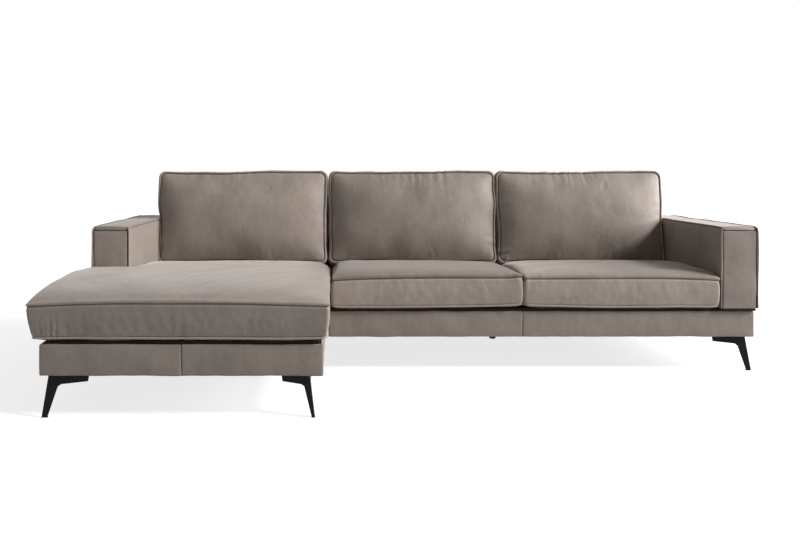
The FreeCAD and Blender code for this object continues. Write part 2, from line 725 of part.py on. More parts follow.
def main():
    os.makedirs("parts", exist_ok=True)
    glides, footprints = legs()
    clearances, studs = support_legs(glides)
    plate_footprints, chaise_holes, sofa_holes = joining_plates()
    clearances += footprints + plate_footprints
    holes = {rail: [stud] for rail, stud in studs.items()}
    holes["chaise_right_rail"] += chaise_holes
    holes["sofa_left_rail"] += sofa_holes
    clips = chaise_base(clearances, holes) + sofa_base(clearances, holes)
    save("spring_clips", clips)
    arm("left_arm", arm_l0, arm_l1, -1)
    arm("right_arm", arm_r0, arm_r1, 1)
    straps = back_rest("chaise", arm_l1 + fixed_gap, split0 - fixed_gap)
    straps += back_rest("sofa", split1 + fixed_gap, arm_r0 - fixed_gap)
    save("back_webbing", straps)
    seat_cushions()
    back_cushions()


main()
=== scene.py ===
import math

import bpy
import numpy as np
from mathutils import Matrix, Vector
from mathutils.kdtree import KDTree


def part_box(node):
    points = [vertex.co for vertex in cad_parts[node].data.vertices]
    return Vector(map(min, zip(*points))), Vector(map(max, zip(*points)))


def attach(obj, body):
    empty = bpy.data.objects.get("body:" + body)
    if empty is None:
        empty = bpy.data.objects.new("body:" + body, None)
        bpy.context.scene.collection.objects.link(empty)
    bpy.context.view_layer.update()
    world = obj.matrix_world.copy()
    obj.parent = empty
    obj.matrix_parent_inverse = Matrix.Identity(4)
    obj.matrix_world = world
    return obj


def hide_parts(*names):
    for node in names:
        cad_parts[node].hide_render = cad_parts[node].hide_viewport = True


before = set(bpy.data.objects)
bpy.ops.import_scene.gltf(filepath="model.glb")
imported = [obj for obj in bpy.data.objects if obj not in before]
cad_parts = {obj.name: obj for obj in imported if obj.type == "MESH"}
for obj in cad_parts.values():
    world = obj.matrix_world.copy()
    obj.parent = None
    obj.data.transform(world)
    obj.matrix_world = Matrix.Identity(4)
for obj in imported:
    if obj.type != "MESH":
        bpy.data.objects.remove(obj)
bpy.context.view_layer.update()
scene = bpy.context.scene

# Corner sofa in a napped, piped upholstery fabric. Metres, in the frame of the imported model.

# Grids of the sewn pieces
grid_step = 0.013
grid_evening = 0.25  # the close lines beside a notch spread out over this length
rim_lines = (0.0, 0.0025, 0.005, 0.0075, 0.0105, 0.0145, 0.0185, 0.024, 0.031)  # in from a seam
rim_part = 2.5  # the close lines stay within a side divided by this
pad_step = 0.02
nearly = 0.001  # points this near to a plane or a seam count as on it
tiny = 1e-9  # keeps a division from being by zero

# Seams and piping
piping_radius = 0.004
piping_proud = 0.005  # the piping's middle, out from the bottom of its groove
groove_depth = 0.0075  # the panels' edges in from the band
groove_width = 0.003
cushion_lip = 0.0032  # a panel's edge rolls over the seam in a half round
lip_settle = 0.06  # past its lip, a panel is back in its place over this length
recess_from = 0.6  # a panel's recess begins here on its lip, in half turns
recess_over = 0.8  # and is whole after this much more
valley_depth = 0.0065  # a seam that lies between a panel and a band rolled up beside it
valley_width = 0.0028
bow_fade = 0.1  # a side that is drawn in takes the panel with it over this length

# Folds and waves in the fabric
wave_rates = (0.7, 1.7)  # noise is made of waves of about its length, slower and faster
seam_pucker = (0.0009, 0.03, 0.034)  # the small folds at every seam: height, reach and length
pucker_start = 0.006  # folds begin this far off their seam
patch_length = 6  # small folds come in patches, this many folds long
patch_cover = 0.2  # raises the noise that the patches come from
patch_most = 1.4
cushion_sway = (0.0012, 0.16)  # slow waves over a whole piece: height and length
pad_sway = (0.0007, 0.11)
arm_sway = (0.0012, 0.2)
seat_wander = (0, 0.0015, 0.0018)  # how far a cushion strays along x, y and z
back_wander = (0.0025, 0.002, 0.0015)
seat_wander_length = 0.5
back_wander_length = 0.22
air_frames = 18

# Seat cushions
seat_seam_low = 0.275
seat_seam_high = 0.386
seat_seam_arch = 0.01  # the upper seam's middle above its ends
seat_arch_middle = 0.7  # share of the arch that is above the seam's level
seat_arch_power = 2.5
seat_corner = 0.013
seat_side_bow = 0.003
seat_draw_fade = 0.06
seat_arch_fade = 0.35
pressed_from = 0.36  # the back cushions press the seats down from here to the rear
pressed_to = 0.5
pressed_depth = 0.012
seat_band_bulge = 0.0025
arm_clearance = 0.003
lift_reach = 0.08  # a seat's front corner can stand higher, over this length
lift_depth = 0.06
lift_below = 0.6  # the lower seam's share of the lift
settle_reach = 0.022  # towards the rear, a seat's sides sink beside the next cushion
settle_length = 0.35
chaise_crown = 0.06
seat_crown = 0.034
chaise_draws = (0.02, 0.01, 0.013)  # the lower seam, in from the upper: left, right and front
seat_draws = (0, 0, 0.003)
# The crown's climb from a side: the two lengths over which it rises
chaise_front_climb = (0.1, 0.18)
seat_front_climb = (0.018, 0.11)
seat_side_climb = (0.006, 0.03)
chaise_side_climb = (0.015, 0.06)
pressed_climb = (0.004, 0.014)  # beside an arm, which holds the fabric up
seat_under_climb = (0.01, 0.02)
# From the rear it climbs slowly: a length and a power
chaise_rear_climb = (0.4, 1.6)
seat_rear_climb = (0.22, 1.3)

# Back cushions
back_lean = math.radians(8)
back_height = 0.446
back_band = 0.146  # the front seam is this far off the rear
back_rear_inset = 0.02
back_crown = 0.108
back_thickness = 0.16  # at the top, which sets where the cushion stands
back_rear_roll = 0.01
back_corner = 0.034
back_side_bow = 0.006
back_bow_middle = -0.34  # the sides are drawn in below the middle, and meet at the top
back_sunk = 0.012  # the cushion's weight presses its foot into the seat
back_band_bulge = 0.005
back_rim = 0.0075  # the band rolls up to the front seam over this radius
back_rim_turn = 1.92
back_climb = (0.055, 0.25)
back_low_climb = (0.06, 0.3)  # the lower third falls away further
back_rear_climb = (0.008, 0.012)
back_rear_draw = 0.004  # the rear seam, in from the band's widest
back_spare = 0.002  # beside an arm, a cushion may pass its CAD box by this
over_arm_rise = 0.04  # over the arm it may swell further, and gains that over this height
dent_rim = 0.6  # a dimple turns up where the squared share of its radius is this

# Arms
arm_lip = 0.0048  # the side panels' edges are half rounds of this radius
arm_side_recess = 0.0025  # the side panels, in from their lips
arm_front_corner = 0.026
arm_foot_corner = 0.006
arm_climb = (0.03, 0.08)
arm_stitch = (0.014, 0.019)  # the lip's line of stitches, sunk and painted in shade, in from the seam
arm_stitch_depth = 0.0025
arm_top_seam = 0.0185  # the seam over the front panel, down from the top
arm_top_seam_depth = 0.004
arm_top_seam_half = 0.0015  # half its width
arm_front_reach = 0.03  # the strip's points within this of the front lie on it
arm_front_recess = 0.007  # the strip behind the front pad
arm_pad_spare = 0.001  # the front pad, past its panel's sides and short of the top seam
arm_pad_set = 0.0005  # and behind the arm's front
arm_strip_recess = 0.003  # the strip over the front and top, in from the lips
arm_strip_swell = 0.003
arm_side_swell = 0.0015
arm_top_round = 0.024  # the long upper edges round off towards the front
arm_round_fade = 0.035
under_pad_side = 0.01  # the dark cloth under an arm, a real dust cover that also serves as painted shade in the gap over the base, in from its sides and rear
under_pad_front = 0.012  # in from its front, and up from the base's rail
under_pad_top = 0.004  # up into the arm

# Padded panels of the base and the back rest
pad_edge = 0.0056
pad_swell = 0.004
pad_recess = 0.002  # the pad's edge lies under its swollen middle
pad_narrow = 0.02  # sides narrower than twice this stay flat

module_meeting = 0.0022  # the back rests' padding closes the gap between the modules
deck_notch = (0.011, 0.014)  # the chaise's felt runs this far under the left arm's cover
dust_slack = 0.004
dust_ripple = 0.4  # the slack differs from place to place by about this share
dust_ripple_length = 0.25
leg_bevel = 0.0008

# How firmly the padded pieces are filled
cushion_fill = 0.8
arm_fill = 0.7
panel_fill = 0.6
cover_fill = 0.5

# Materials and studio
nap_colour = (0.29, 0.243, 0.212)
white = (1, 1, 1, 1)
nap_levels = ((0.34, 0.86), (0.5, 1.0), (0.66, 1.14))  # stops of the nap's clouds: place and tone
lamp_target = (0, 0, 0.4)
lamp_colour = (1, 0.99, 0.975)
floor_reach = 40.0


def waves(points, length, seed, count=16):
    """Smooth noise, about -1 to 1, with features of about the given length."""
    draw = np.random.default_rng(seed)
    directions = draw.normal(size=(count, points.shape[1]))
    directions /= np.linalg.norm(directions, axis=1)[:, None]
    rates = math.tau / (length * draw.uniform(*wave_rates, count))
    phases = draw.uniform(0, math.tau, count)
    return np.sin(points @ (directions * rates[:, None]).T + phases).sum(1) / math.sqrt(count)


def lines(low, high, step=grid_step, total=0):
    """Grid lines from low to high, close together near both ends. total is how many, if it is set."""
    rim = np.array(rim_lines)
    rim = rim[rim < (high - low) / rim_part]
    count = total - 2 * (len(rim) - 1) if total else max(2, round((high - low) / step))
    middle = np.linspace(low + rim[-1], high - rim[-1], count)
    return np.concatenate([low + rim[:-1], middle, (high - rim[:-1])[::-1]])


def shade_smooth(mesh):
    mesh.polygons.foreach_set("use_smooth", [True] * len(mesh.polygons))


def new_object(name, data):
    made = bpy.data.objects.new(name, data)
    scene.collection.objects.link(made)
    return made


def new_piece(name, points, faces):
    mesh = bpy.data.meshes.new(name)
    mesh.from_pydata(points.tolist(), [], faces)
    shade_smooth(mesh)
    return new_object(name, mesh)


def vectors_of(rows, name):
    flat = np.empty(len(rows) * 3)
    rows.foreach_get(name, flat)
    return flat.reshape(-1, 3)


def points_of(piece):
    return vectors_of(piece.data.vertices, "co")


def normals_of(piece):
    return vectors_of(piece.data.vertex_normals, "vector")


def move_points(piece, points):
    piece.data.vertices.foreach_set("co", points.ravel())
    piece.data.update()


def stand_out(piece, heights):
    """Moves the piece's points along their normals."""
    move_points(piece, points_of(piece) + normals_of(piece) * heights[:, None])


def evaluated(piece):
    """The piece as its modifiers leave it."""
    return piece.evaluated_get(bpy.context.evaluated_depsgraph_get())


def subdivide(piece):
    """Applies a subdivision surface to the piece's mesh."""
    modifier = piece.modifiers.new("smooth", "SUBSURF")
    modifier.levels = 1
    mesh = bpy.data.meshes.new_from_object(evaluated(piece))
    piece.modifiers.remove(modifier)
    piece.data = mesh
    shade_smooth(mesh)


def round_corner(u, v, radius):
    """Distances from two sides, changed so that the corner between the sides is round."""
    a, b = 1 - u / radius, 1 - v / radius
    inside = (a > 0) & (b > 0)
    a, b = np.clip(a, 0, 1), np.clip(b, 0, 1)
    return (np.where(inside, radius * (1 - a * np.sqrt(1 - b * b / 2)), u),
            np.where(inside, radius * (1 - b * np.sqrt(1 - a * a / 2)), v))


class Outline:
    """The plan of a sewn piece: a rectangle, or an L with a notch cut from its far left corner.
    Corners are near left, near right, far right and far left, and an L adds the notch's own."""

    def __init__(self, x0, x1, y0, y1, radii, bow, notch=None, bow_middle=0.0):
        self.box = (x0, x1, y0, y1)
        self.bow = bow
        self.bow_middle = bow_middle
        self.notch = notch
        nx, ny = notch or (x0, y1)
        spots = [(x0, y0), (x1, y0), (x1, y1), (nx, y1)]
        turns = [(1, 1), (-1, 1), (-1, -1), (1, -1), (1, -1)]
        self.sides = [(0, x0, y0, ny, 1), (0, x1, y0, y1, -1), (1, y0, x0, x1, 1), (1, y1, nx, x1, -1)]
        if notch:
            spots.append((x0, ny))
            self.sides += [(0, nx, ny, y1, 1), (1, ny, x0, nx, -1)]
        self.corners = [(*spot, *turn, radius) for spot, turn, radius in zip(spots, turns, radii)]

    def grid(self):
        """Points, faces and rim of a flat grid over the plan. The rim is counter-clockwise."""
        x0, x1, y0, y1 = self.box
        xs, ys = lines(x0, x1), lines(y0, y1)
        if self.notch:
            nx, ny = self.notch
            xs = np.concatenate([lines(x0, nx), lines(nx, x1)[1:]])
            ys = np.concatenate([lines(y0, ny), lines(ny, y1)[1:]])
        used, faces = {}, []

        def vertex(i, j):
            return used.setdefault((i, j), len(used))

        for j in range(len(ys) - 1):
            for i in range(len(xs) - 1):
                if self.notch and xs[i + 1] <= nx and ys[j] >= ny:
                    continue
                faces.append((vertex(i, j), vertex(i + 1, j), vertex(i + 1, j + 1), vertex(i, j + 1)))
        edges = {(face[k], face[(k + 1) % 4]) for face in faces for k in range(4)}
        following = {a: b for a, b in edges if (b, a) not in edges}
        rim = [min(following)]
        while following[rim[-1]] != rim[0]:
            rim.append(following[rim[-1]])
        columns, rows = np.array(list(used)).T
        points = np.column_stack([xs[columns], ys[rows]])
        if self.notch:
            over = (ny - points[:, 1], points[:, 0] - nx)
            evened = (lines(x0, x1, total=len(xs))[columns], lines(y0, y1, total=len(ys))[rows])
            for axis in range(2):
                share = np.clip(over[axis] / grid_evening, 0, 1)
                share *= share * (3 - 2 * share)
                points[:, axis] += share * (evened[axis] - points[:, axis])
        return points, faces, rim

    def depth(self, points):
        """Distance of each grid point from the nearest side."""
        nearest = np.full(len(points), np.inf)
        for axis, at, low, high, _ in self.sides:
            across = points[:, axis] - at
            beyond = points[:, 1 - axis] - np.clip(points[:, 1 - axis], low, high)
            nearest = np.minimum(nearest, np.hypot(across, beyond))
        return nearest

    def rise(self, points, climbs):
        """Share of the crown at each grid point. climbs holds, for the near, far, left and right side
        and the notch, how the crown rises: over two lengths, or slowly with a length and a power."""
        def climb(distance, side):
            first, second = climbs[side]
            d = np.maximum(distance, 0)
            if second > 1:
                return 1 - np.exp(-(d / first) ** second)
            return 1 - 0.5 * np.exp(-d / first) - 0.5 * np.exp(-d / second)

        x, y = points.T
        x0, x1, y0, y1 = self.box
        share = climb(y - y0, "near") * climb(y1 - y, "far")
        share = share * climb(x - x0, "left") * climb(x1 - x, "right")
        if self.notch is None:
            return share
        nx, ny = self.notch
        return share * climb(np.hypot(np.maximum(x - nx, 0), np.maximum(ny - y, 0)), "notch")

    def place(self, points, inset):
        """Grid points moved to an outline that lies in by inset, its corners round and its sides
        drawn in."""
        x0, x1, y0, y1 = self.box
        nx, ny = self.notch or (x0, y1)
        inset = np.broadcast_to(inset, len(points))
        moved = points.copy()
        ways = [1, 1, -1] if nx > x0 else [1, -1]
        moved[:, 0] += inset * np.interp(points[:, 0], sorted({x0, nx, x1}), ways)
        ways = [1, -1, -1] if ny < y1 else [1, -1]
        moved[:, 1] += inset * np.interp(points[:, 1], sorted({y0, ny, y1}), ways)
        for cx, cy, sx, sy, radius in self.corners:
            corner_x, corner_y = cx + sx * inset, cy + sy * inset
            u, v = round_corner(sx * (moved[:, 0] - corner_x), sy * (moved[:, 1] - corner_y), radius)
            moved[:, 0] = corner_x + sx * u
            moved[:, 1] = corner_y + sy * v
        for axis, at, low, high, inward in self.sides:
            along = (2 * points[:, 1 - axis] - low - high) / (high - low)
            along = (along - self.bow_middle) / (1 - abs(self.bow_middle))
            fade = np.exp(-np.abs(points[:, axis] - at) / bow_fade)
            moved[:, axis] += inward * self.bow * np.clip(1 - along ** 2, 0, 1) * fade
        return moved


def pinched(depth):
    """A panel's edge at a piped seam: how far it moves in, and how far it stands off the seam."""
    return groove_depth * np.exp(-depth / groove_width), 0 * depth


def lipped(radius, recess=0.0):
    """A panel's edge that rolls over into a half round and down into the groove beside it."""
    half_turn = math.pi * radius

    def edge(depth):
        turn = np.minimum(depth / radius, math.pi)
        past = np.maximum(depth - half_turn, 0)
        settle = np.exp(-past / lip_settle)
        inset = radius * (1 - np.sin(turn)) - turn * radius * settle
        sunk = recess * np.clip((depth - recess_from * half_turn) / (recess_over * half_turn), 0, 1)
        return inset, radius * (1 - np.cos(turn)) - sunk

    return edge


def valley(depth):
    """A panel's edge that goes down into a seam open to the front."""
    return 0 * depth, -valley_depth * np.exp(-depth / valley_width)


def rolled(far, radius):
    """The band's rolled edge at a distance from the seam: how far it is in, and how far it stands
    off the seam."""
    angle = max(back_rim_turn - far / radius, 0)
    stand = radius * (math.sin(angle) - math.sin(back_rim_turn))
    return radius * (1 - math.cos(angle)), stand - valley_depth * math.exp(-far / valley_width)


def boxed(name, outline, seams, crowns, climbs, draw, swell, to_row, edges, band_recess=0.0,
          rim_radius=0.0, stitched=None):
    """A sewn box: a panel at each end of a band, with grooves at the two seams. seams, crowns, climbs,
    draw and edges are for the low and the high panel. With rim_radius, the band rolls up round the high
    panel. stitched says which of the grid's points lie on a line of stitches painted in shade. Returns
    the piece and the two seams as vertex numbers in order. Its materials are the panels', the painted
    shade of the seams and stitches, and the band's."""
    grid, faces, rim = outline.grid()
    low, high = seams
    depth = outline.depth(grid)
    panels = []
    for seam, crown, climb, drawn, edge, way in zip(seams, crowns, climbs, draw, edges, (-1, 1)):
        inset, stand = edge(depth)
        height = stand + crown * outline.rise(grid, climb)
        panels.append(np.column_stack([outline.place(grid, inset + drawn), seam + way * height]))
    bottom, top = panels
    count = len(grid)
    loops = [[count + k for k in rim]]
    rows = []
    for w in lines(low, high)[1:-1]:
        t = (w - low) / (high - low)
        inset = draw[0] * (1 - t) - swell * 4 * t * (1 - t) + band_recess
        inset += groove_depth * math.exp(-(w - low) / groove_width)
        height = w
        if rim_radius:
            arc, stand = back_rim_turn * rim_radius, rim_radius * math.sin(back_rim_turn)
            roll, lift = rolled(high - w, rim_radius)
            inset += roll
            if high - w < arc:
                height = high + lift
            else:
                height = low + (w - low) * (high - stand - low) / (high - arc - low)
        else:
            inset += draw[1] * t + groove_depth * math.exp(-(high - w) / groove_width)
        ring = outline.place(grid[rim], inset)
        first = 2 * count + len(rows) * len(rim)
        loops.append(list(range(first, first + len(rim))))
        rows.append(np.column_stack([ring, np.full(len(rim), height)]))
    loops.append(list(rim))
    faces = faces + [tuple(count + k for k in reversed(face)) for face in faces]
    panel_faces = len(faces)
    for lower, upper in zip(loops, loops[1:]):
        for k in range(len(rim)):
            after = (k + 1) % len(rim)
            faces.append((lower[k], lower[after], upper[after], upper[k]))
    piece = new_piece(name, to_row(np.concatenate([top, bottom, *rows])), faces)
    deep = set(loops[-1])
    if edges[0] is not pinched:
        deep.update(loops[0])
    on_painted_stitch_shade = np.zeros(len(piece.data.vertices), bool)
    if stitched is not None:
        on_painted_stitch_shade[:2 * count] = np.tile(stitched(grid, depth), 2)
    for polygon in piece.data.polygons:
        corners = list(polygon.vertices)
        # Faces along the seams and the stitches take the darker copy of the fabric: painted shade.
        dark = not deep.isdisjoint(corners) or on_painted_stitch_shade[corners].all()
        in_band = polygon.index >= panel_faces
        polygon.material_index = 1 if dark else 2 * in_band
    return piece, loops[0], loops[-1]


def dress(piece, body, materials, nodes=()):
    """Gives the piece its body and materials, and hides the nodes that it stands for."""
    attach(piece, body)
    if nodes:
        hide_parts(*nodes)
    for material in materials:
        piece.data.materials.append(material)


def clothe(piece, body, fill, nodes, panel=None, band=None):
    """Dresses the piece in the fabric, with a darker copy of it down in its grooves: painted shade. Its
    panels and its band may take lighter and darker copies of the fabric instead: painted light and
    shade."""
    last = max(polygon.material_index for polygon in piece.data.polygons)
    materials = (panel or fabric, groove_painted_shade, band or fabric)[:last + 1]
    dress(piece, body, materials, nodes)


def piping(name, loop, outward):
    """A cord in its fabric sleeve, sewn into a seam that runs through the points of loop."""
    ahead, behind = np.roll(loop, -1, axis=0), np.roll(loop, 1, axis=0)
    tangent = ahead - behind
    tangent /= np.linalg.norm(tangent, axis=1)[:, None]
    side = outward - (outward * tangent).sum(1)[:, None] * tangent
    side /= np.linalg.norm(side, axis=1)[:, None]
    other = np.cross(tangent, side)
    around = 8
    middle = loop + side * piping_proud
    rings = []
    for k in range(around):
        angle = math.tau * k / around
        rings.append(middle + piping_radius * (math.cos(angle) * side + math.sin(angle) * other))
    points = np.stack(rings, axis=1).reshape(-1, 3)
    faces = []
    for i in range(len(loop)):
        j = (i + 1) % len(loop)
        for k in range(around):
            m = (k + 1) % around
            faces.append((i * around + k, j * around + k, j * around + m, i * around + m))
    piece = new_piece(name, points, faces)
    subdivide(piece)
    return piece


def tree_of(points):
    """Finds which of the points is nearest to a place."""
    tree = KDTree(len(points))
    for k, point in enumerate(points):
        tree.insert(point, k)
    tree.balance()
    return tree


def pucker(piece, loop, height, reach, length, seed, spot=None, spread=0.1):
    """Small folds that run out from a seam, deep beside it and gone past reach. With a spot, they
    are only round it."""
    tree = tree_of(loop)
    steps = np.linalg.norm(np.roll(loop, -1, axis=0) - loop, axis=1)
    along = np.concatenate([[0], np.cumsum(steps)[:-1]])
    points = points_of(piece)
    found = [tree.find(point) for point in points]
    distance = np.array([hit[2] for hit in found])
    place = along[[hit[1] for hit in found]]
    total = steps.sum()
    turn = math.tau * place / total
    ring = np.column_stack([np.cos(turn), np.sin(turn)]) * (total / math.tau)
    folds = waves(ring, length, seed)
    if spot is None:
        where = np.clip(waves(ring, patch_length * length, seed + 1) + patch_cover, 0, patch_most)
    else:
        where = np.exp(-((points - spot) ** 2).sum(1) / spread ** 2)
    fall = np.exp(-distance / reach) * (1 - np.exp(-distance / pucker_start))
    stand_out(piece, height * folds * where * fall)


def wander(piece, heights, length, seed):
    """Moves the piece's points a little along x, y and z, so that its seams aren't dead straight."""
    points = points_of(piece)
    shift = [height * waves(points, length, seed + axis) for axis, height in enumerate(heights)]
    move_points(piece, points + np.column_stack(shift))


def undulate(piece, height, length, seed):
    """Waves all over the piece, as a padded surface has."""
    stand_out(piece, height * waves(points_of(piece), length, seed))


def inflate(piece, firmness, pressure, growth, cap):
    """Fills the fabric with air by a cloth simulation. firmness holds each vertex to its place, growth
    is the cloth's spare share, and no vertex moves further than cap."""
    rest = points_of(piece)
    group = piece.vertex_groups.new(name="firm")
    for level in np.unique(firmness):
        group.add(np.flatnonzero(firmness == level).tolist(), float(level), "REPLACE")
    modifier = piece.modifiers.new("air", "CLOTH")
    cloth = modifier.settings
    cloth.quality = 4
    cloth.mass = 0.25
    cloth.tension_stiffness = 12
    cloth.compression_stiffness = 12
    cloth.shear_stiffness = 6
    cloth.bending_stiffness = 0.4
    cloth.use_pressure = True
    cloth.uniform_pressure_force = pressure
    cloth.shrink_min = -growth
    cloth.vertex_group_mass = "firm"
    cloth.pin_stiffness = 1
    cloth.effector_weights.gravity = 0
    modifier.collision_settings.use_collision = False
    modifier.point_cache.frame_end = air_frames
    for number in range(1, air_frames + 1):
        scene.frame_set(number)
    shift = vectors_of(evaluated(piece).data.vertices, "co") - rest
    piece.modifiers.remove(modifier)
    scene.frame_set(1)
    length = np.linalg.norm(shift, axis=1)
    shift *= (cap * np.tanh(length / cap) / np.maximum(length, tiny))[:, None]
    move_points(piece, rest + shift)


def every_side(climb):
    """The same climb from each side."""
    return dict.fromkeys(("near", "far", "left", "right", "notch"), climb)


def seat_cushion(node, body, crown, front, sides, draws, sag, seed, notch=None, folds=(), lifts=(0, 0),
                 settles=(0, 0), painted_tones=(None, None)):
    """front and sides are the climbs of the near, left and right side, and draws is how far the lower
    seam is in from the upper one at the left, right and front. sag is the climb from the rear, where
    the back cushion presses on the seat. lifts is how much higher its front left and front right
    corners stand, and settles is how far its left and right sides sink towards the rear."""
    low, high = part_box(node)
    radii = [seat_corner] * (4 if notch is None else 5)
    outline = Outline(low.x, high.x, low.y, high.y, radii, seat_side_bow, notch)
    top = {"near": front, "far": sag, "left": sides[0], "right": sides[1], "notch": pressed_climb}
    middle, half = (low.x + high.x) / 2, (high.x - low.x) / 2

    def to_row(points):
        """The upper seam hangs a little at both ends, and the band leans in to the lower one."""
        x, y, z = points.T

        def beside(reach):
            """1 at the left side and at the right side, and less further in."""
            return np.exp((low.x - x) / reach), np.exp((x - high.x) / reach)

        share = np.clip((z - seat_seam_low) / (seat_seam_high - seat_seam_low), 0, 1)
        at_left, at_right = beside(seat_draw_fade)
        right = at_left * draws[0] - at_right * draws[1]
        back = np.exp((low.y - y) / seat_draw_fade) * draws[2]
        end = np.abs((x - middle) / half)
        raised = seat_seam_arch * (seat_arch_middle - end ** seat_arch_power)
        raised *= np.exp((low.y - y) / seat_arch_fade)
        pressed = np.clip((y - pressed_from) / (pressed_to - pressed_from), 0, 1)
        raised -= pressed_depth * pressed ** 2 * (3 - 2 * pressed)
        at_left, at_right = beside(lift_reach)
        lifted = lifts[0] * at_left + lifts[1] * at_right
        at_left, at_right = beside(settle_reach)
        sunk = settles[0] * at_left + settles[1] * at_right
        raised -= sunk * np.clip((y - arm_low.y) / settle_length, 0, 1)
        lifted = (lift_below + (1 - lift_below) * share) * lifted
        raised = share * raised + lifted * np.exp((low.y - y) / lift_depth)
        return points + np.column_stack([(1 - share) * right, (1 - share) * back, raised])

    seams, crowns = (seat_seam_low, seat_seam_high), (seat_seam_low - low.z, crown)
    climbs = (every_side(seat_under_climb), top)
    piece, lower, upper = boxed(node.replace("_cushion", "_cover"), outline, seams, crowns, climbs,
                                (0, 0), seat_band_bulge, to_row, (pinched, lipped(cushion_lip)))
    air = {"hold": 0.15, "seam_reach": 0.02, "pressure": 1.0, "growth": 0.002, "cap": 0.006,
           "under": lambda points: points[:, 2] < seat_seam_low + nearly}
    wander(piece, seat_wander, seat_wander_length, seed + 60)
    nodes = [node, node.replace("cushion", "foam")]
    # The panels and the band may take lighter and darker copies of the fabric: painted light and shade.
    finish_cushion(piece, (lower, upper), body, seed, nodes, air, folds, painted_tones)


def finish_cushion(piece, seams, body, seed, nodes, air, folds, painted_tones):
    """Fills a cushion with air, then adds its puckers and its piping. air says how: the least hold on
    a point, the reach of the seams' hold, the pressure, growth and cap, and which points lie on
    something. folds are groups of deeper puckers: their seam, height, reach, length, spot and
    spread."""
    points = points_of(piece)
    tree = tree_of(points[seams[0] + seams[1]])
    away = np.array([tree.find(point)[2] for point in points])
    firmness = np.maximum(air["hold"], np.exp(-away / air["seam_reach"]))
    firmness[away < nearly] = 1
    firmness[air["under"](points)] = 1
    inflate(piece, firmness.round(2), air["pressure"], air["growth"], air["cap"])
    normals = normals_of(piece)
    points = points_of(piece)
    loops = [points[seam] for seam in seams]
    outwards = [normals[seam] for seam in seams]
    subdivide(piece)
    for k, loop in enumerate(loops):
        pucker(piece, loop, *seam_pucker, seed + 10 * k)
    for k, (seam, height, reach, length, spot, spread) in enumerate(folds):
        pucker(piece, loops[seam], height, reach, length, seed + 40 + k, np.array(spot), spread)
    undulate(piece, *cushion_sway, seed + 30)
    clothe(piece, body, cushion_fill, nodes, *painted_tones)
    trim = piping(piece.name.replace("cover", "piping"), loops[0], outwards[0])
    # The piping takes a lighter copy of the fabric: a painted highlight.
    dress(trim, body, [piping_painted_highlight])


def back_cushion(node, body, reach, seed, folds=(), nap=None):
    """reach is how far the fabric may stand out at the left and the right, up to its neighbours."""
    low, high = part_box(node)
    sine, cosine = math.sin(back_lean), math.cos(back_lean)
    foot_y = high.y - (back_height - back_rear_inset) * sine
    foot_z = high.z - back_height * cosine - back_thickness * sine

    def to_row(points):
        x, v, w = points.T
        v = v - back_sunk * np.clip(1 - v / back_height, 0, 1)
        return np.column_stack([x, foot_y + v * sine - w * cosine, foot_z + v * cosine + w * sine])

    left = low.x - max(reach[0] - back_band_bulge, 0)
    outline = Outline(left, high.x, 0, back_height, [back_corner] * 4, back_side_bow,
                      bow_middle=back_bow_middle)
    seams, crowns = (back_rear_roll, back_band), (back_rear_roll, back_crown)
    climbs = (every_side(back_rear_climb), every_side(back_climb) | {"near": back_low_climb})
    draws = (back_rear_draw, back_rim * (1 - math.cos(back_rim_turn)))
    piece, lower, upper = boxed(node + "_cover", outline, seams, crowns, climbs, draws,
                                back_band_bulge, to_row, (pinched, valley), rim_radius=back_rim)
    rear_seam = foot_y - back_rear_roll * cosine
    air = {"hold": 0.05, "seam_reach": 0.012, "pressure": 3.0, "growth": 0.001, "cap": 0.012,
           "under": lambda points: ((points[:, 1] - rear_seam) * cosine
                                    > (points[:, 2] - foot_z) * sine + nearly)}
    wander(piece, back_wander, back_wander_length, seed + 60)
    # The copy of the fabric given for the whole cushion is a lighter one: painted light.
    finish_cushion(piece, (lower, upper), body, seed, [node], air, folds, (nap, nap))
    points = points_of(piece)
    over_arm = np.clip((points[:, 2] - arm_high.z) / over_arm_rise, 0, 1)
    points[:, 0] = np.clip(points[:, 0],
                           low.x - back_spare - over_arm * (reach[0] - back_spare),
                           high.x + back_spare + over_arm * (reach[1] - back_spare))
    move_points(piece, points)
    return piece


def dent(piece, spot, radius, depth):
    """A small dimple with a raised rim."""
    away = ((points_of(piece) - np.array(spot)) ** 2).sum(1) / radius ** 2
    stand_out(piece, depth * (away - dent_rim) * np.exp(-away))


